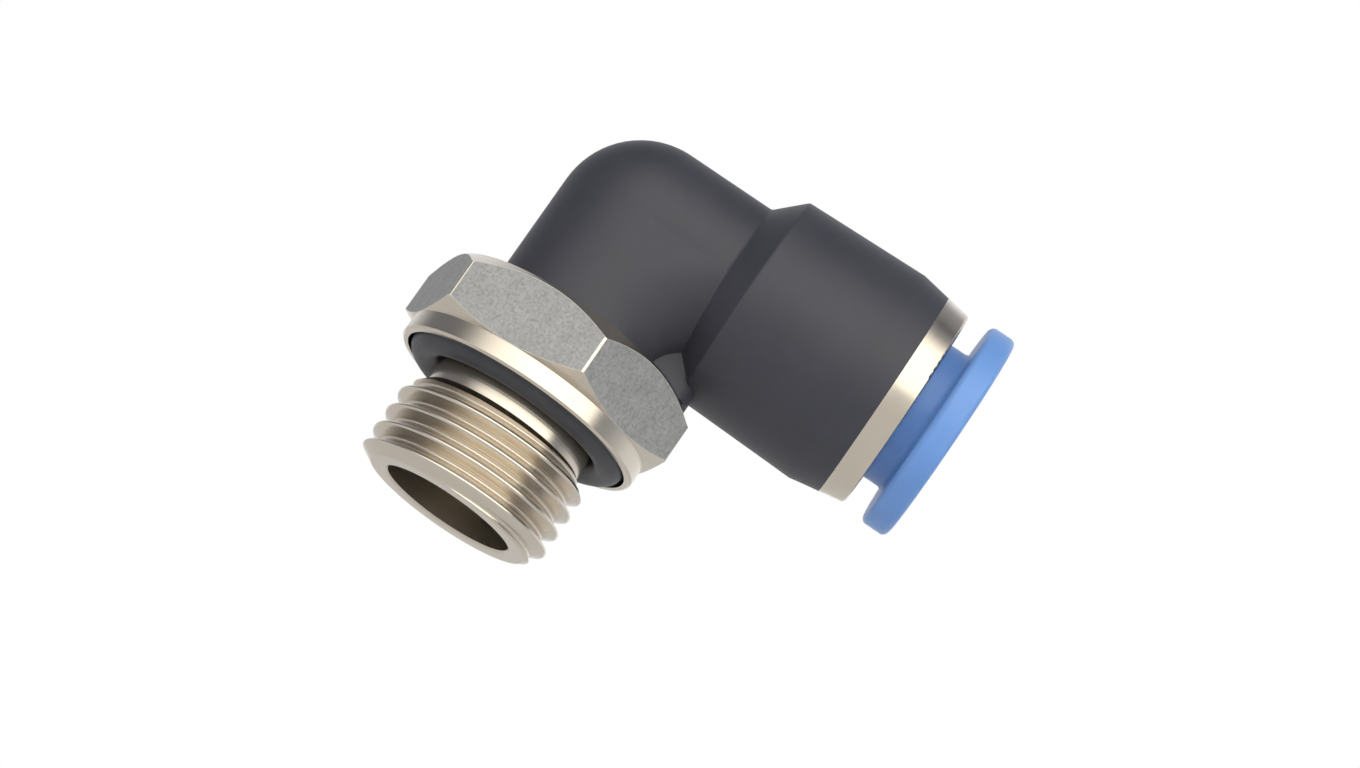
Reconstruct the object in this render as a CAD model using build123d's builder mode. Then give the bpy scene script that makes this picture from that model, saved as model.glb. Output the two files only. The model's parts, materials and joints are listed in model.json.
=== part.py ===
from build123d import *

import math
import os

# A male elbow push-to-connect fitting for plastic tube, with a parallel pipe thread and a swivelling body.
# Millimetres. The origin is where the thread axis meets the sealing face of the stud's flange.
# +Z runs along the thread axis towards the elbow. The tube port opens along +X.

os.makedirs("parts", exist_ok=True)

# ---------------------------------------------------------------- driving dimensions

# Tube
tube_d = 8.0
tube_clearance = 0.1  # radial, to the bores that guide the tube

# Port thread: G 1/4 of ISO 228-1, Whitworth form
thread_d = 13.157
thread_pitch = 1.337
thread_depth = 0.856
thread_root_round = 0.184
flank_angle = 27.5
thread_reach = 7.6  # sealing face to the thread's free end
thread_run_in = 0.35  # share of a turn that the groove starts below the free end
thread_run_out = 0.4  # sealing face down to where the groove ends, inside the undercut
thread_start_angle = 121.0  # turn of the finished thread about Z
relief_length = 2.6  # sealing face to the first full turn
relief_step = 0.2  # radial, from the thread's root down to the undercut
thread_crest_break = 0.06  # radial height of the broken edge on each crest
thread_crest_slope = 1.7  # of the broken edge, against the radius
thread_cutter_over = 0.05  # how far the groove's cutter stands outside the crests
end_chamfer = 0.55
end_face_step = 0.1  # radial, from the thread's root down to the end face
port_wall = 1.27  # thread root to the bore behind it

# Stud head
hex_af = 17.0
hex_corner_angle = 45.0  # direction of one corner, from +X
hex_corner_round = 0.2
head_height = 5.85
rim_height = 1.3  # round flange under the hexagon
rim_wall = 0.46  # flat sealing rim outside the O-ring's recess
lower_chamfer_angle = 30.0
upper_chamfer_angle = 40.0
top_face_step = 0.2  # radial, from the hexagon's flats in to its top face
stud_edge_break = 0.15  # flange rim and bore mouth

# Face O-ring and its recess
face_ring_section = 2.2
face_ring_neck_gap = 0.15
face_ring_proud = 0.6  # how far the free ring stands out of its recess
recess_clearance = 0.15

# Stud spigot, swivel and retaining ring
flow_d = 5.8
spigot_d = 8.7
spigot_length = 5.15
spigot_end_chamfer = 0.4
swivel_clearance = 0.03  # radial running fit
swivel_gap = 0.12  # between the hexagon's top face and the body
swivel_ring_height = 0.86
swivel_ring_width = 1.1
swivel_ring_round = 0.35
swivel_groove_width = 1.3
swivel_groove_top = 1.0  # from the spigot's end
snap_ring_thickness = 0.6
snap_ring_width = 0.7
snap_ring_edge_break = 0.08
snap_ring_z_above_body = 1.3  # body's lower end to the ring's underside
snap_ring_grip = 0.34  # how far the ring reaches into the body
snap_ring_clearance = 0.03
snap_ring_split = 1.4

# Elbow body
body_wall = 1.32
corner_foot = 0.1  # upright wall left under the inner corner's bend
bend_inset = 0.02
cheek_inset = 0.03  # flat sides of the corner, against the barrels
rib_width = 4.4  # under the large barrel, beside the hexagon
rib_past_step = 0.8  # from the step's top to the rib's end
rib_round = 1.4
barrel_wall = 1.1  # round the end ring's sleeve, at the barrel's widest
barrel_over_hex = 0.63  # least gap between the hexagon's top face and the large barrel
barrel_draft = 0.23  # radial, how much slimmer the large barrel starts
step_length = 1.75
step_fillet = 0.25
mouth_taper_length = 2.0
mouth_taper_step = 0.34
stop_wall = 1.12  # swivel bore to the tube's stop
stop_to_step = 0.6

# Tube port, from the tube's stop outward
pocket_length = 3.4
seal_length = 3.0
seal_section = 1.8
seal_lip_reach = 0.08  # how far the lip stands inside the tube's surface
seal_lip_thickness = 0.45
seal_gap = 0.05
seat_length = 2.0
seat_web = 0.5
seat_rim_gap = 0.2  # root of the teeth to the seat's rim
claw_thickness = 0.3
claw_reach = 0.1  # how far the teeth's tips stand inside the tube's surface
claw_angle = 40.0  # teeth, from the ring's plane
claw_count = 12
claw_slot = 0.7
claw_root_gap = 0.25  # release ring's neck to the root of the teeth
claw_tip_bevel = 0.12

# End ring
chamber_length = 2.9
sleeve_wall = 0.8
press_clearance = 0.02
press_barb = 0.2
press_barb_length = 0.9
shoulder_to_mouth = 1.2
press_barb_start = 0.8  # from the sleeve's inner end
collar_length = 1.7
collar_taper = 0.28
collar_round = 0.2

# Release ring
ring_neck_wall = 0.85
ring_neck_clearance = 0.05
ring_barb = 0.5
ring_barb_length = 1.3
ring_barb_land = 0.45
ring_barb_clearance = 0.25
ring_barb_gap = 0.1
ring_nose_gap = 0.2
ring_nose_wall = 0.38
ring_stroke_gap = 1.5  # end ring to the release flange
release_flange_d = 14.7
release_flange_length = 1.85
release_flange_round = 0.42
release_neck_fillet = 0.4
finger_count = 6
finger_slot = 0.8
finger_slot_length = 4.0
bore_lead_in = 0.5

# ---------------------------------------------------------------- derived sizes

thread_r = thread_d / 2
root_r = thread_r - thread_depth
port_bore_r = root_r - port_wall
relief_r = root_r - relief_step
face_ring_inner_r = relief_r + face_ring_neck_gap
recess_r = face_ring_inner_r + face_ring_section + recess_clearance
recess_depth = face_ring_section - face_ring_proud
flange_r = recess_r + rim_wall
hex_corner_r = hex_af / math.sqrt(3)
lower_chamfer = math.tan(math.radians(lower_chamfer_angle))
upper_chamfer = math.tan(math.radians(upper_chamfer_angle))

flow_r = flow_d / 2
spigot_r = spigot_d / 2
swivel_bore_r = spigot_r + swivel_clearance
spigot_top_z = head_height + spigot_length
swivel_groove_top_z = spigot_top_z - swivel_groove_top
swivel_groove_r = swivel_bore_r - press_clearance - swivel_ring_height
snap_outer_r = swivel_bore_r + snap_ring_grip
snap_inner_r = snap_outer_r - snap_ring_width
snap_groove_r = spigot_r - snap_ring_width - snap_ring_clearance

tube_r = tube_d / 2
tube_bore_r = tube_r + tube_clearance
neck_r = tube_bore_r + ring_neck_wall
guide_r = neck_r + ring_neck_clearance
barb_r = neck_r + ring_barb
chamber_r = barb_r + ring_barb_clearance
sleeve_r = chamber_r + sleeve_wall
socket_r = sleeve_r + press_clearance
large_barrel_r = socket_r + barrel_wall
small_barrel_r = swivel_bore_r + body_wall
barrel_start_r = large_barrel_r - barrel_draft
mouth_r = large_barrel_r - mouth_taper_step
seal_chamber_r = tube_bore_r + seal_section
claw_root_r = neck_r + claw_root_gap
claw_tip_r = tube_r - claw_reach

body_base_z = head_height + swivel_gap
body_shoulder_z = spigot_top_z + swivel_gap
snap_ring_z = body_base_z + snap_ring_z_above_body
port_z = head_height + barrel_over_hex + large_barrel_r

stop_x = swivel_bore_r + stop_wall
step_x = stop_x + stop_to_step
seal_x = stop_x + pocket_length
seat_x = seal_x + seal_length + seal_gap
claw_x = seat_x + seat_length
sleeve_x = claw_x + claw_thickness
shoulder_x = sleeve_x + chamber_length
mouth_x = shoulder_x + shoulder_to_mouth
press_barb_x = sleeve_x + press_barb_start
press_barb_end_x = press_barb_x + press_barb_length
collar_x = mouth_x + collar_length
flange_x = collar_x + ring_stroke_gap
front_x = flange_x + release_flange_length

# Profiles of the tube port are drawn as (distance along X, radius) on this plane.
port_plane = Plane(origin=(0, 0, port_z), x_dir=(1, 0, 0), z_dir=(0, -1, 0))
port_axis = Axis((0, 0, port_z), (1, 0, 0))


# ---------------------------------------------------------------- threaded stud

with BuildPart() as threaded_stud:
    # hexagon, kept inside a turned envelope that gives its 30 degree chamfers
    with BuildSketch(Plane.XY):
        RegularPolygon(radius=hex_corner_r, side_count=6, rotation=hex_corner_angle - thread_start_angle)
        fillet(vertices(), radius=hex_corner_round)
    extrude(amount=head_height)
    with BuildSketch(Plane.XZ):
        top_face_r = hex_af / 2 - top_face_step
        with BuildLine():
            Polyline(
                (0, 0),
                (flange_r, 0),
                (flange_r, rim_height),
                (hex_corner_r, rim_height + (hex_corner_r - flange_r) * lower_chamfer),
                (hex_corner_r, head_height - (hex_corner_r - top_face_r) * upper_chamfer),
                (top_face_r, head_height),
                (0, head_height),
                close=True,
            )
        make_face()
    revolve(axis=Axis.Z, mode=Mode.INTERSECT)

    # round flange, shank and spigot
    with BuildSketch(Plane.XY):
        Circle(flange_r)
    extrude(amount=rim_height)
    chamfer(edges().filter_by(GeomType.CIRCLE).group_by(Axis.Z)[0], length=stud_edge_break)
    with BuildSketch(Plane.XZ):
        with BuildLine():
            Polyline(
                (0, -thread_reach),
                (root_r - end_face_step, -thread_reach),
                (thread_r, -thread_reach + end_chamfer),
                (thread_r, -relief_length),
                (relief_r, -relief_length + thread_r - relief_r),
                (relief_r, recess_depth),
                (0, recess_depth),
                close=True,
            )
        make_face()
    revolve(axis=Axis.Z)
    with BuildSketch(Plane.XY.offset(head_height)):
        Circle(spigot_r)
    extrude(amount=spigot_length)
    chamfer(edges().group_by(Axis.Z)[-1], length=spigot_end_chamfer)

    # turned grooves: O-ring recess, swivel O-ring and retaining ring
    with BuildSketch(Plane.XZ):
        with Locations((relief_r, 0)):
            Rectangle(recess_r - relief_r, recess_depth, align=(Align.MIN, Align.MIN))
        with Locations((swivel_groove_r, swivel_groove_top_z)):
            Rectangle(spigot_r, swivel_groove_width, align=(Align.MIN, Align.MAX))
        with Locations((snap_groove_r, snap_ring_z - snap_ring_clearance)):
            Rectangle(
                spigot_r,
                snap_ring_thickness + 2 * snap_ring_clearance,
                align=(Align.MIN, Align.MIN),
            )
    revolve(axis=Axis.Z, mode=Mode.SUBTRACT)

    # through bore: wide behind the thread, a cone, then the spigot's flow bore
    with BuildSketch(Plane.XZ):
        with BuildLine():
            Polyline(
                (0, -thread_reach),
                (port_bore_r, -thread_reach),
                (port_bore_r, rim_height),
                (flow_r, rim_height + port_bore_r - flow_r),
                (flow_r, spigot_top_z),
                (0, spigot_top_z),
                close=True,
            )
        make_face()
    revolve(axis=Axis.Z, mode=Mode.SUBTRACT)
    bore_mouth = edges().filter_by(GeomType.CIRCLE).group_by(Axis.Z)[0].sort_by(SortBy.RADIUS)[0]
    chamfer(bore_mouth, length=stud_edge_break)

    # Whitworth groove, from below the free end up into the undercut
    groove_start_z = -thread_reach - (1 + thread_run_in) * thread_pitch
    groove_height = -groove_start_z - thread_run_out
    with BuildLine() as thread_path:
        Helix(pitch=thread_pitch, height=groove_height, radius=root_r, center=(0, 0, groove_start_z))
    with BuildSketch(Plane(origin=(root_r, 0, groove_start_z), x_dir=(1, 0, 0), z_dir=(0, -1, 0))):
        flank = math.tan(math.radians(flank_angle))
        apex = thread_root_round / math.sin(math.radians(flank_angle)) - thread_root_round
        break_y = (thread_depth - thread_crest_break + apex) * flank
        outer_x = thread_depth + thread_cutter_over
        outer_y = break_y + (outer_x - thread_depth + thread_crest_break) * thread_crest_slope
        with BuildLine():
            Polyline(
                (-apex, 0),
                (thread_depth - thread_crest_break, break_y),
                (outer_x, outer_y),
                (outer_x, -outer_y),
                (thread_depth - thread_crest_break, -break_y),
                close=True,
            )
        make_face()
        fillet(vertices().sort_by(Axis.X)[0], radius=thread_root_round)
    sweep(path=thread_path.line, is_frenet=True, mode=Mode.SUBTRACT)

turned_stud = threaded_stud.part.rotate(Axis.Z, thread_start_angle)
turned_stud.label = "threaded_stud"
export_step(turned_stud, "parts/threaded_stud.step")


# ---------------------------------------------------------------- rubber rings on the stud

with BuildPart() as face_o_ring:
    with BuildSketch(Plane.XZ):
        ring_section_r = face_ring_section / 2
        with Locations((face_ring_inner_r + ring_section_r, recess_depth - ring_section_r)):
            Circle(ring_section_r)
    revolve(axis=Axis.Z)

face_o_ring.part.label = "face_o_ring"
export_step(face_o_ring.part, "parts/face_o_ring.step")

with BuildPart() as swivel_o_ring:
    # squeezed between the groove's floor and the body's bore, so its section is flattened
    with BuildSketch(Plane.XZ):
        swivel_groove_z = swivel_groove_top_z - swivel_groove_width / 2
        with Locations((swivel_groove_r + swivel_ring_height / 2, swivel_groove_z)):
            RectangleRounded(swivel_ring_height, swivel_ring_width, radius=swivel_ring_round)
    revolve(axis=Axis.Z)

swivel_o_ring.part.label = "swivel_o_ring"
export_step(swivel_o_ring.part, "parts/swivel_o_ring.step")


# ---------------------------------------------------------------- retaining ring of the swivel

with BuildPart() as swivel_snap_ring:
    with BuildSketch(Plane.XZ):
        with Locations(((snap_inner_r + snap_outer_r) / 2, snap_ring_z + snap_ring_thickness / 2)):
            Rectangle(snap_ring_width, snap_ring_thickness)
        chamfer(vertices(), length=snap_ring_edge_break)
    split_angle = math.degrees(snap_ring_split / snap_inner_r)
    revolve(axis=Axis.Z, revolution_arc=360 - split_angle)

swivel_snap_ring.part.label = "swivel_snap_ring"
export_step(swivel_snap_ring.part, "parts/swivel_snap_ring.step")


# ---------------------------------------------------------------- elbow body

with BuildPart() as elbow_body:
    # barrel on the stud, a ball corner, and the stepped barrel of the tube port
    with BuildSketch(Plane.XY.offset(body_base_z)):
        Circle(small_barrel_r)
    extrude(amount=port_z - body_base_z)
    with BuildSketch(port_plane):
        with BuildLine():
            Polyline(
                (0, 0),
                (0, small_barrel_r),
                (step_x, small_barrel_r),
                (step_x + step_length, barrel_start_r),
                (mouth_x - mouth_taper_length, large_barrel_r),
                (mouth_x, mouth_r),
                (mouth_x, 0),
                close=True,
            )
        make_face()
        step_corners = vertices().filter_by_position(Axis.X, step_x, step_x + step_length)
        fillet(step_corners, radius=step_fillet)
    revolve(axis=port_axis)
    with Locations((0, 0, port_z)):
        Sphere(small_barrel_r)

    # rounded inner corner: a quarter bend, just slimmer than the barrels where it leaves them
    bend_r = port_z - body_base_z - corner_foot
    bend_axis = Axis((bend_r, 0, port_z - bend_r), (0, 1, 0))
    with BuildSketch(Plane.XY.offset(port_z - bend_r)):
        Circle(small_barrel_r - bend_inset)
    revolve(axis=bend_axis, revolution_arc=90)

    # flat cheeks that fill the hollow between the ball and the bend on both sides
    with BuildSketch(Plane.XZ):
        with BuildLine():
            Line((bend_r, port_z), (0, port_z))
            Line((0, port_z), (0, port_z - bend_r))
            CenterArc((bend_r, port_z - bend_r), bend_r, start_angle=90, arc_size=90)
        make_face()
    extrude(amount=small_barrel_r - cheek_inset, both=True)

    # short rib from the foot of the small barrel to the underside of the large one
    rib_end_x = step_x + step_length + rib_past_step
    with BuildSketch(Plane.XY.offset(body_base_z)):
        with Locations((rib_end_x / 2, 0)):
            Rectangle(rib_end_x, rib_width)
        rib_corners = vertices().group_by(Axis.X)[-1]
        fillet(rib_corners, radius=rib_round)
    extrude(amount=port_z - body_base_z)

    # bores of the swivel: running fit, flow bore and the retaining ring's groove
    with BuildSketch(Plane.XZ):
        with BuildLine():
            Polyline(
                (0, body_base_z),
                (swivel_bore_r, body_base_z),
                (swivel_bore_r, body_shoulder_z),
                (flow_r, body_shoulder_z),
                (flow_r, port_z),
                (0, port_z),
                close=True,
            )
        make_face()
        with Locations((0, snap_ring_z - snap_ring_clearance)):
            Rectangle(
                snap_outer_r + snap_ring_clearance,
                snap_ring_thickness + 2 * snap_ring_clearance,
                align=(Align.MIN, Align.MIN),
            )
    revolve(axis=Axis.Z, mode=Mode.SUBTRACT)
    with Locations((0, 0, port_z)):
        Sphere(flow_r, mode=Mode.SUBTRACT)

    # bores of the tube port, from the flow passage out to the end ring's socket
    with BuildSketch(port_plane):
        with BuildLine():
            Polyline(
                (0, 0),
                (0, flow_r),
                (stop_x, flow_r),
                (stop_x, tube_bore_r),
                (seal_x, tube_bore_r),
                (seal_x, seal_chamber_r),
                (seat_x, seal_chamber_r),
                (seat_x, socket_r),
                (mouth_x, socket_r),
                (mouth_x, 0),
                close=True,
            )
        make_face()
        with BuildLine():
            Polyline(
                (press_barb_x - press_clearance, socket_r - press_clearance),
                (press_barb_x - press_clearance, socket_r),
                (press_barb_end_x + press_clearance, socket_r + press_barb),
                (press_barb_end_x + press_clearance, socket_r - press_clearance),
                close=True,
            )
        make_face()
    revolve(axis=port_axis, mode=Mode.SUBTRACT)

elbow_body.part.label = "elbow_body"
export_step(elbow_body.part, "parts/elbow_body.step")


# ---------------------------------------------------------------- tube seal

with BuildPart() as tube_seal:
    # U section, open towards the pressure: a heel, a static outer lip and a wiping inner lip
    with BuildSketch(port_plane):
        seal_outer_r = seal_chamber_r - press_clearance
        seal_end_x = seal_x + seal_length
        lip_r = tube_r - seal_lip_reach
        heel_x = seal_x + 2 * seal_length / 3
        with BuildLine():
            Polyline(
                (seal_x + seal_gap, seal_outer_r),
                (seal_end_x, seal_outer_r),
                (seal_end_x, tube_bore_r),
                (heel_x, tube_bore_r),
                (seal_x + 3 * seal_gap, lip_r),
                (seal_x + 3 * seal_gap, lip_r + seal_lip_thickness),
                (heel_x, (tube_bore_r + seal_outer_r) / 2),
                (seal_x + seal_gap, seal_outer_r - seal_lip_thickness),
                close=True,
            )
        make_face()
    revolve(axis=port_axis)

tube_seal.part.label = "tube_seal"
export_step(tube_seal.part, "parts/tube_seal.step")


# ---------------------------------------------------------------- claw seat

with BuildPart() as claw_seat:
    # a web that backs the seal and a rim that carries the claws, with room between for the teeth to bend
    with BuildSketch(port_plane):
        seat_rim_r = claw_root_r + seat_rim_gap
        with BuildLine():
            Polyline(
                (seat_x, sleeve_r),
                (claw_x, sleeve_r),
                (claw_x, seat_rim_r),
                (seat_x + seat_web, tube_bore_r),
                (seat_x, tube_bore_r),
                close=True,
            )
        make_face()
    revolve(axis=port_axis)

claw_seat.part.label = "claw_seat"
export_step(claw_seat.part, "parts/claw_seat.step")


# ---------------------------------------------------------------- lock claws

with BuildPart() as lock_claws:
    # a flat ring clamped between the seat and the sleeve, with its inner part bent into teeth
    claw_slope = math.tan(math.radians(claw_angle))
    tooth_width_x = claw_thickness / math.cos(math.radians(claw_angle))
    tip_x = sleeve_x - (claw_root_r - claw_tip_r) * claw_slope
    with BuildSketch(port_plane):
        with BuildLine():
            Polyline(
                (claw_x, sleeve_r),
                (sleeve_x, sleeve_r),
                (sleeve_x, claw_root_r),
                (tip_x + claw_tip_bevel * claw_slope, claw_tip_r + claw_tip_bevel),
                (tip_x - tooth_width_x, claw_tip_r),
                (claw_x, claw_root_r + (tooth_width_x - claw_thickness) / claw_slope),
                close=True,
            )
        make_face()
    revolve(axis=port_axis)
    with BuildSketch(Plane(origin=(sleeve_x, 0, port_z), x_dir=(0, 1, 0), z_dir=(-1, 0, 0))):
        with PolarLocations(claw_root_r / 2, claw_count):
            Rectangle(claw_root_r, claw_slot)
    extrude(amount=seat_length, mode=Mode.SUBTRACT)

lock_claws.part.label = "lock_claws"
export_step(lock_claws.part, "parts/lock_claws.step")


# ---------------------------------------------------------------- end ring

with BuildPart() as end_ring:
    # a barbed sleeve pressed into the body, with a shoulder that keeps the release ring in
    with BuildSketch(port_plane):
        with BuildLine():
            Polyline(
                (sleeve_x, chamber_r),
                (sleeve_x, sleeve_r),
                (press_barb_x, sleeve_r),
                (press_barb_end_x, sleeve_r + press_barb),
                (press_barb_end_x, sleeve_r),
                (mouth_x, sleeve_r),
                (mouth_x, mouth_r),
                (collar_x, mouth_r - collar_taper),
                (collar_x, guide_r),
                (shoulder_x, guide_r),
                (shoulder_x, chamber_r),
                close=True,
            )
        make_face()
        collar_front = vertices().filter_by_position(Axis.X, collar_x - 0.01, collar_x + 0.01)
        fillet(collar_front, radius=collar_round)
    revolve(axis=port_axis)

end_ring.part.label = "end_ring"
export_step(end_ring.part, "parts/end_ring.step")


# ---------------------------------------------------------------- release ring

with BuildPart() as release_ring:
    # nose, barb, neck and flange
    with BuildSketch(port_plane):
        nose_x = sleeve_x + ring_nose_gap
        barb_end_x = shoulder_x - ring_barb_gap
        barb_x = barb_end_x - ring_barb_length
        release_flange_r = release_flange_d / 2
        with BuildLine():
            Polyline(
                (nose_x, tube_bore_r),
                (nose_x, tube_bore_r + ring_nose_wall),
                (barb_x, neck_r - ring_neck_clearance),
                (barb_end_x - ring_barb_land, barb_r),
                (barb_end_x, barb_r),
                (barb_end_x, neck_r),
                (flange_x, neck_r),
                (flange_x, release_flange_r),
                (front_x, release_flange_r),
                (front_x, tube_bore_r + bore_lead_in),
                (front_x - bore_lead_in, tube_bore_r),
                close=True,
            )
        make_face()
        rim_corners = vertices().group_by(Axis.Y)[-1]
        fillet(rim_corners, radius=release_flange_round)
        neck_corner = vertices().filter_by_position(Axis.X, flange_x, flange_x).group_by(Axis.Y)[0]
        fillet(neck_corner, radius=release_neck_fillet)
    revolve(axis=port_axis)

    # slots that split the nose into fingers, so that the barb can be pushed past the shoulder
    with BuildSketch(Plane(origin=(nose_x, 0, port_z), x_dir=(0, 1, 0), z_dir=(1, 0, 0))):
        with PolarLocations(0, finger_count):
            Rectangle(chamber_r, finger_slot, align=(Align.MIN, Align.CENTER))
    extrude(amount=finger_slot_length, mode=Mode.SUBTRACT)

release_ring.part.label = "release_ring"
export_step(release_ring.part, "parts/release_ring.step")
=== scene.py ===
import json
import math

import bpy
from mathutils import Matrix, Vector

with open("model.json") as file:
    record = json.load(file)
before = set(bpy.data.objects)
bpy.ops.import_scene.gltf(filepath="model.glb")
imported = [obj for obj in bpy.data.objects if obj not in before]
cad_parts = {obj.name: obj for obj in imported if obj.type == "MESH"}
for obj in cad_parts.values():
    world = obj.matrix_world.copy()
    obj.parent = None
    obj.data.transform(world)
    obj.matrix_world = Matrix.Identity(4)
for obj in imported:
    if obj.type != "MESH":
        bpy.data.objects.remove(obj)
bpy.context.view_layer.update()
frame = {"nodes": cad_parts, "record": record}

MM = 0.001
IMAGE_WIDTH_PX = 1360
FOCAL_PX = 3844.6
SENSOR_MM = 36
FLOOR_Z = -0.06
mounts = {mount["name"]: mount for mount in frame["record"]["mounts"]}
PORT_Z = mounts["tube_port"]["pos_m"][2] / MM
HEX_FLAT_R = math.hypot(*mounts["wrench_flat"]["pos_m"][:2]) / MM
HEX_CORNER_R = HEX_FLAT_R / math.cos(math.pi / 6)


# ---------------------------------------------------------------- node helpers

class Nodes:
    """Short names for building one node tree."""

    def __init__(self, tree):
        self.tree = tree
        tree.nodes.clear()

    def add(self, kind, inputs=None, **settings):
        node = self.tree.nodes.new(kind)
        for name, value in settings.items():
            setattr(node, name, value)
        for name, value in (inputs or {}).items():
            socket = node.inputs[name]
            if isinstance(value, bpy.types.NodeSocket):
                self.tree.links.new(value, socket)
            else:
                socket.default_value = value
        return node

    def math(self, operation, *values, clamp=False):
        node = self.add("ShaderNodeMath", operation=operation, use_clamp=clamp)
        for socket, value in zip(node.inputs, values):
            if isinstance(value, bpy.types.NodeSocket):
                self.tree.links.new(value, socket)
            else:
                socket.default_value = value
        return node.outputs[0]

    def ramp(self, value, stops, smooth=False):
        """A colour ramp from stops of (position, colour or grey level)."""
        node = self.add("ShaderNodeValToRGB", {"Fac": value})
        node.color_ramp.interpolation = "EASE" if smooth else "LINEAR"
        elements = node.color_ramp.elements
        while len(elements) < len(stops):
            elements.new(0.5)
        for element, (position, colour) in zip(elements, stops):
            element.position = position
            element.color = (*colour, 1) if isinstance(colour, tuple) else (colour,) * 3 + (1,)
        return node.outputs["Color"]

    def mix(self, factor, a, b):
        node = self.add("ShaderNodeMix", data_type="RGBA")
        for index, value in ((0, factor), (6, a), (7, b)):
            if isinstance(value, bpy.types.NodeSocket):
                self.tree.links.new(value, node.inputs[index])
            elif index == 0:
                node.inputs[0].default_value = value
            else:
                node.inputs[index].default_value = (*value, 1)
        return node.outputs[2]

    def multiply(self, a, b):
        """The product of two colours."""
        inputs = {0: 1.0, 6: a, 7: b}
        return self.add("ShaderNodeMix", inputs, data_type="RGBA", blend_type="MULTIPLY").outputs[2]

    def noise(self, vector, scale, detail=3.0, roughness=0.5):
        node = self.add(
            "ShaderNodeTexNoise",
            {"Vector": vector, "Scale": scale, "Detail": detail, "Roughness": roughness},
        )
        return node.outputs["Fac"]

    def bump(self, height, distance, strength=1.0, normal=None):
        inputs = {"Height": height, "Distance": distance, "Strength": strength}
        if normal is not None:
            inputs["Normal"] = normal
        return self.add("ShaderNodeBump", inputs).outputs["Normal"]


def new_material(name):
    material = bpy.data.materials.new(name)
    material.use_nodes = True
    nodes = Nodes(material.node_tree)
    place = nodes.add("ShaderNodeTexCoord").outputs["Object"]
    return material, nodes, place


def finish_material(nodes, **inputs):
    named = {key.replace("_", " "): value for key, value in inputs.items()}
    shader = nodes.add("ShaderNodeBsdfPrincipled", named)
    nodes.add("ShaderNodeOutputMaterial", {"Surface": shader.outputs[0]})


# ---------------------------------------------------------------- materials

def in_mm(nodes, place):
    """The point's coordinates in millimetres."""
    scaled = nodes.add("ShaderNodeVectorMath", {0: place, 3: 1 / MM}, operation="SCALE").outputs[0]
    return nodes.add("ShaderNodeSeparateXYZ", {"Vector": scaled}).outputs


def length(nodes, a, b):
    """Length of the vector (a, b)."""
    squares = nodes.math("ADD", nodes.math("MULTIPLY", a, a), nodes.math("MULTIPLY", b, b))
    return nodes.math("SQRT", squares)


def between(nodes, value, low, high, soft=0.02):
    """1 where value lies between low and high, with soft ends."""
    start = nodes.add("ShaderNodeMapRange", {"Value": value, "From Min": low - soft, "From Max": low + soft})
    end = nodes.add("ShaderNodeMapRange", {"Value": value, "From Min": high + soft, "From Max": high - soft})
    return nodes.math("MULTIPLY", start.outputs[0], end.outputs[0])


def edge_highlight_share(nodes, radius):
    """Mask for painted highlights: 1 on sharp edges and 0 on open faces, from how far a rounded normal turns
    within the radius.
    """
    rounded = nodes.add("ShaderNodeBevel", {"Radius": radius}, samples=4).outputs["Normal"]
    flat = nodes.add("ShaderNodeNewGeometry").outputs["Normal"]
    along = nodes.add("ShaderNodeVectorMath", {0: rounded, 1: flat}, operation="DOT_PRODUCT").outputs["Value"]
    return nodes.add("ShaderNodeMapRange", {"Value": along, "From Min": 0.998, "From Max": 0.93}).outputs[0]


def crevice_shade_share(nodes, distance):
    """Mask for painted shade: 1 deep in a groove and 0 in the open."""
    open_share = nodes.add("ShaderNodeAmbientOcclusion", {"Distance": distance}, samples=6).outputs["AO"]
    limits = {"Value": open_share, "From Min": 0.75, "From Max": 0.2}
    return nodes.add("ShaderNodeMapRange", limits).outputs[0]


def turning_lines(nodes, along, radius, scale):
    """Fine rings that a lathe leaves: noise that changes only along the axis and across the radius."""
    rings = nodes.add("ShaderNodeCombineXYZ", {"X": along, "Y": radius}).outputs[0]
    return nodes.noise(rings, scale, 2.0, 0.6)


def turned_nickel(nodes, place, along, radius):
    """Colour, roughness and normal of nickel plating over turned brass, with painted shade in the grooves and
    painted highlights on sharp edges.
    """
    stain = nodes.noise(place, 220.0, 4.0, 0.6)
    lines = turning_lines(nodes, along, radius, 9.0)
    painted_crevice_shade = crevice_shade_share(nodes, 0.0006)
    painted_edge_glint = edge_highlight_share(nodes, 0.00006)
    colour = nodes.ramp(stain, [(0.3, (0.69, 0.625, 0.53)), (0.7, (0.75, 0.685, 0.59))])
    # painted shade: grooves and thread roots darkened towards dark brown
    colour = nodes.mix(nodes.math("MULTIPLY", painted_crevice_shade, 0.7), colour, (0.22, 0.17, 0.12))
    # painted highlight: sharp edges lightened towards pale nickel
    colour = nodes.mix(nodes.math("MULTIPLY", painted_edge_glint, 0.5), colour, (0.86, 0.82, 0.74))
    rough = nodes.math("MULTIPLY_ADD", lines, 0.14, 0.13)
    rough = nodes.math("MULTIPLY_ADD", nodes.noise(place, 900.0, 3.0), 0.06, rough)
    normal = nodes.bump(lines, 0.000006)
    return colour, rough, normal


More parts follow.
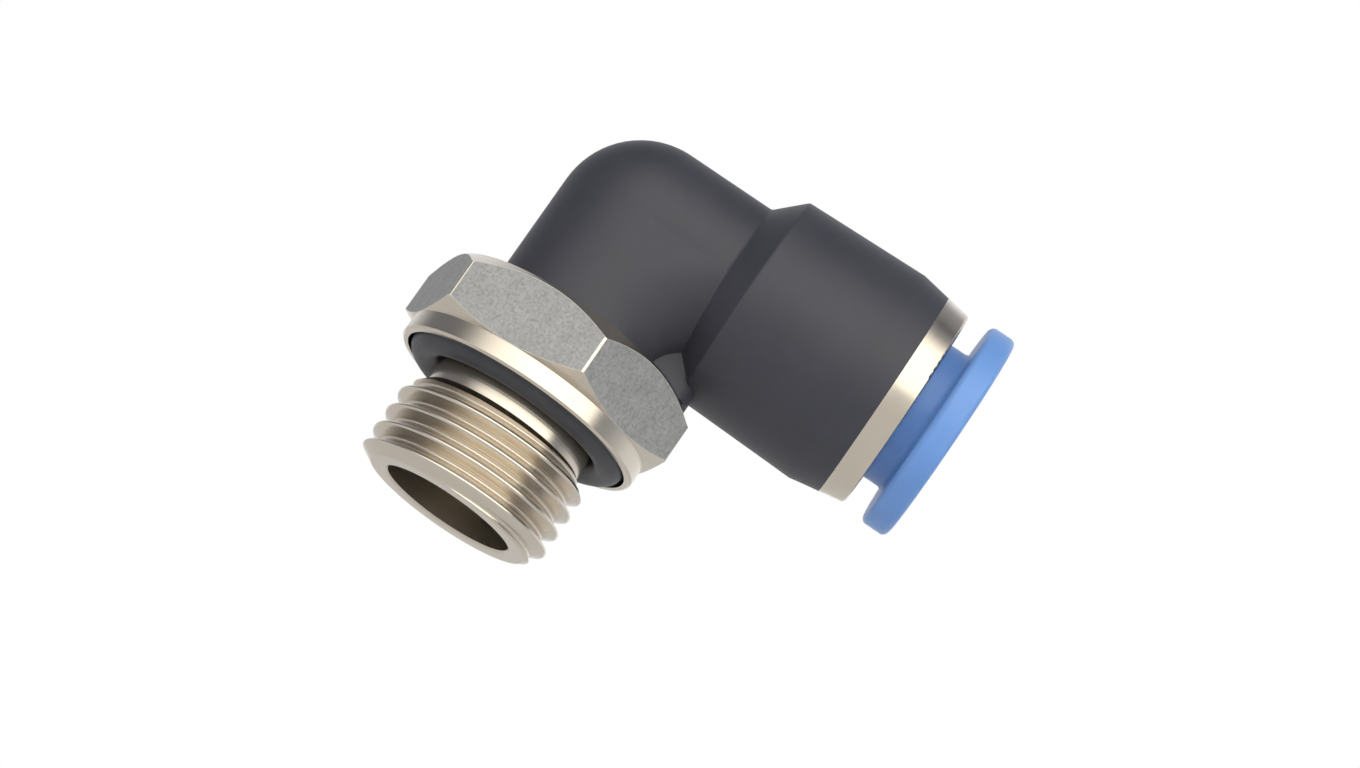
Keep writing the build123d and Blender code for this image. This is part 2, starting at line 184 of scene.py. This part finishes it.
def stud_plating(name):
    material, nodes, place = new_material(name)
    x, y, z = in_mm(nodes, place)
    radius = length(nodes, x, y)
    colour, rough, normal = turned_nickel(nodes, place, z, radius)

    # the wrench flats are blasted: matt, mottled and greyer than the turned faces
    true_normal = nodes.add("ShaderNodeNewGeometry").outputs["True Normal"]
    tilt = nodes.add("ShaderNodeSeparateXYZ", {"Vector": true_normal})
    upright = nodes.math("LESS_THAN", nodes.math("ABSOLUTE", tilt.outputs["Z"]), 0.15)
    on_hexagon = between(nodes, radius, HEX_FLAT_R - 0.01, HEX_CORNER_R - 0.07, 0.004)
    flats = nodes.math("MULTIPLY", upright, on_hexagon)
    grain = nodes.noise(place, 5200.0, 3.0, 0.65)
    mottle = nodes.noise(place, 900.0, 4.0, 0.7)
    blasted = nodes.ramp(mottle, [(0.25, (0.43, 0.435, 0.44)), (0.75, (0.52, 0.525, 0.525))])
    speck = nodes.ramp(grain, [(0.3, 0.72), (0.5, 0.95), (0.72, 1.12)])
    blasted = nodes.multiply(blasted, speck)
    # painted highlight: the flats' edges lightened towards pale nickel
    painted_edge_highlight = nodes.math("MULTIPLY", edge_highlight_share(nodes, 0.00012), 0.8)
    blasted_colour = nodes.mix(painted_edge_highlight, blasted, (0.82, 0.80, 0.75))
    blasted_rough = nodes.math("MULTIPLY_ADD", grain, 0.2, 0.58)
    blasted_normal = nodes.bump(grain, 0.00002)

    colour = nodes.mix(flats, colour, blasted_colour)
    turned_share = nodes.math("MULTIPLY", rough, nodes.math("SUBTRACT", 1.0, flats))
    rough = nodes.math("ADD", turned_share, nodes.math("MULTIPLY", blasted_rough, flats))
    blend = nodes.add("ShaderNodeMix", {0: flats, 4: normal, 5: blasted_normal}, data_type="VECTOR")
    finish_material(nodes, Base_Color=colour, Metallic=1.0, Roughness=rough, Normal=blend.outputs[1])
    return material


def ring_plating(name):
    material, nodes, place = new_material(name)
    x, y, z = in_mm(nodes, place)
    radius = length(nodes, y, nodes.math("SUBTRACT", z, PORT_Z))
    colour, rough, normal = turned_nickel(nodes, place, x, radius)
    finish_material(nodes, Base_Color=colour, Metallic=1.0, Roughness=rough, Normal=normal)
    return material


def stainless(name):
    material, nodes, place = new_material(name)
    brushed = nodes.noise(place, 4000.0, 3.0, 0.6)
    painted_edge_glint = edge_highlight_share(nodes, 0.00003)
    colour = nodes.ramp(brushed, [(0.3, (0.50, 0.50, 0.50)), (0.7, (0.62, 0.62, 0.61))])
    # painted highlight: sharp edges lightened towards pale steel
    colour = nodes.mix(nodes.math("MULTIPLY", painted_edge_glint, 0.6), colour, (0.85, 0.85, 0.85))
    rough = nodes.math("MULTIPLY_ADD", brushed, 0.15, 0.18)
    normal = nodes.bump(brushed, 0.000003)
    finish_material(nodes, Base_Color=colour, Metallic=1.0, Roughness=rough, Normal=normal)
    return material


def moulded_plastic(name):
    material, nodes, place = new_material(name)
    y = in_mm(nodes, place)["Y"]
    grain = nodes.noise(place, 6500.0, 3.0, 0.6)
    cloud = nodes.noise(place, 260.0, 4.0, 0.6)
    colour = nodes.ramp(cloud, [(0.3, (0.038, 0.040, 0.054)), (0.7, (0.046, 0.048, 0.064))])
    # painted highlight: sharp edges lightened towards grey
    painted_edge_sheen = nodes.math("MULTIPLY", edge_highlight_share(nodes, 0.0001), 0.35)
    colour = nodes.mix(painted_edge_sheen, colour, (0.11, 0.112, 0.12))
    rough = nodes.math("MULTIPLY_ADD", cloud, 0.12, 0.38)
    rough = nodes.math("MULTIPLY_ADD", grain, 0.08, rough)
    # fine moulded texture, and the witness line where the two halves of the mould met
    line = nodes.math("MULTIPLY", between(nodes, y, -0.03, 0.03, 0.02), 0.7)
    height = nodes.math("ADD", nodes.math("MULTIPLY", grain, 0.5), line)
    normal = nodes.bump(height, 0.000012)
    finish_material(nodes, Base_Color=colour, Roughness=rough, Normal=normal)
    return material


def rubber(name):
    material, nodes, place = new_material(name)
    grain = nodes.noise(place, 4500.0, 3.0, 0.6)
    cloud = nodes.noise(place, 500.0, 3.0)
    colour = nodes.ramp(cloud, [(0.3, (0.040, 0.042, 0.052)), (0.7, (0.052, 0.055, 0.066))])
    rough = nodes.math("MULTIPLY_ADD", grain, 0.2, 0.38)
    normal = nodes.bump(grain, 0.000006)
    finish_material(nodes, Base_Color=colour, Roughness=rough, Normal=normal)
    return material


def coloured_acetal(name, shade, lit, edge_highlight_colour):
    material, nodes, place = new_material(name)
    grain = nodes.noise(place, 3800.0, 3.0, 0.6)
    cloud = nodes.noise(place, 300.0, 3.0)
    colour = nodes.ramp(cloud, [(0.3, shade), (0.7, lit)])
    # painted highlight: sharp edges lightened towards the third colour
    colour = nodes.mix(nodes.math("MULTIPLY", edge_highlight_share(nodes, 0.00008), 0.3), colour, edge_highlight_colour)
    rough = nodes.math("MULTIPLY_ADD", grain, 0.14, 0.30)
    normal = nodes.bump(grain, 0.000004)
    finish_material(
        nodes, Base_Color=colour, Roughness=rough, Normal=normal,
        Subsurface_Weight=0.35, Subsurface_Scale=0.0008)
    return material


def give(node, material):
    mesh = frame["nodes"][node].data
    mesh.materials.clear()
    mesh.materials.append(material)


give("threaded_stud", stud_plating("plated_stud"))
give("end_ring", ring_plating("plated_ring"))
give("elbow_body", moulded_plastic("black_plastic"))
spring_steel = stainless("spring_steel")
give("lock_claws", spring_steel)
give("swivel_snap_ring", spring_steel)
black_rubber = rubber("black_rubber")
for node in ("face_o_ring", "swivel_o_ring", "tube_seal"):
    give(node, black_rubber)
# each ring: two tones of its own colour, then its painted edge highlight colour
blue = ((0.155, 0.335, 0.74), (0.175, 0.365, 0.79), (0.3, 0.5, 0.8))
natural = ((0.72, 0.71, 0.66), (0.78, 0.77, 0.72), (0.85, 0.84, 0.8))
give("release_ring", coloured_acetal("blue_acetal", *blue))
give("claw_seat", coloured_acetal("natural_acetal", *natural))

# ---------------------------------------------------------------- stage

bpy.ops.mesh.primitive_plane_add(size=4, location=(0, 0, FLOOR_Z))
floor = bpy.context.object
floor.name = "floor"
floor_material, nodes, place = new_material("floor")
floor_colour = nodes.ramp(nodes.noise(place, 3.0), [(0.3, 0.86), (0.7, 0.88)])
finish_material(nodes, Base_Color=floor_colour, Roughness=0.7)
floor.data.materials.append(floor_material)

# ---------------------------------------------------------------- light

world = bpy.data.worlds.new("studio")
bpy.context.scene.world = world
world.use_nodes = True
nodes = Nodes(world.node_tree)
direction = nodes.add("ShaderNodeTexCoord").outputs["Generated"]
x, y, z = nodes.add("ShaderNodeSeparateXYZ", {"Vector": direction}).outputs
azimuth = nodes.math("ARCTAN2", x, nodes.math("MULTIPLY", y, -1.0))
azimuth_share = nodes.math("MULTIPLY_ADD", azimuth, 0.5 / math.pi, 0.5)
height_share = nodes.math("MULTIPLY_ADD", nodes.math("ARCSINE", z), 1 / math.pi, 0.5)


def at(degrees):
    """An azimuth's place on a ramp. 0 looks along -Y."""
    return (degrees + 180) / 360


def up(degrees):
    """An elevation's place on a ramp."""
    return (degrees + 90) / 180


# a wide soft panel in front, mid greys under and behind the part, and dark gaps overhead and to the sides
across = nodes.ramp(azimuth_share, [
    (at(-80), 0.0), (at(-58), 0.2), (at(-34), 0.7), (at(-10), 1.0), (at(58), 1.0), (at(64), 0.0)])
upward = nodes.ramp(height_share, [(up(-8), 0.0), (up(2), 1.0), (up(48), 1.0), (up(66), 0.0)])
surround = nodes.ramp(height_share, [
    (up(-90), (0.30, 0.31, 0.33)), (up(-68), (0.38, 0.38, 0.40)), (up(-54), (0.80, 0.80, 0.80)),
    (up(-6), (0.80, 0.80, 0.80)), (up(38), (0.78, 0.78, 0.80)), (up(58), (0.30, 0.31, 0.34)),
    (up(90), (0.17, 0.18, 0.21))])
sides = nodes.ramp(azimuth_share, [
    (at(-176), (1.25, 1.25, 1.25)), (at(-150), (1.0, 1.0, 1.0)), (at(-118), (0.24, 0.25, 0.28)),
    (at(-70), (0.22, 0.22, 0.24)),
    (at(-44), (1.0, 1.0, 1.0)), (at(60), (1.0, 1.0, 1.0)), (at(66), (0.26, 0.28, 0.31)),
    (at(80), (0.40, 0.42, 0.45)), (at(112), (1.0, 1.0, 1.0)), (at(176), (1.25, 1.25, 1.25))])
dimmed = nodes.multiply(surround, sides)
panel = nodes.math("MULTIPLY", across, upward)
seen = nodes.mix(panel, dimmed, (2.0, 1.94, 1.80))
camera_ray = nodes.add("ShaderNodeLightPath").outputs["Is Camera Ray"]
colour = nodes.mix(camera_ray, seen, (1.0, 1.0, 1.0))
background = nodes.add("ShaderNodeBackground", {"Color": colour, "Strength": 1.0})
nodes.add("ShaderNodeOutputWorld", {"Surface": background.outputs[0]})

# ---------------------------------------------------------------- camera

CAMERA_MM = (13.45, -231.15, -54.21)
camera = bpy.data.objects.new("camera", bpy.data.cameras.new("camera"))
bpy.context.scene.collection.objects.link(camera)
turn = Matrix(((0.8286, -0.1238, 0.5460), (-0.5593, -0.2267, 0.7974), (0.0250, -0.9661, -0.2571)))
camera.matrix_world = Matrix.Translation(Vector(CAMERA_MM) * MM) @ turn.transposed().to_4x4()
camera.data.sensor_width = SENSOR_MM
camera.data.lens = FOCAL_PX * SENSOR_MM / IMAGE_WIDTH_PX
camera.data.clip_start = 0.01
camera.data.clip_end = 10
bpy.context.scene.camera = camera
bpy.context.scene.view_settings.view_transform = "Standard"
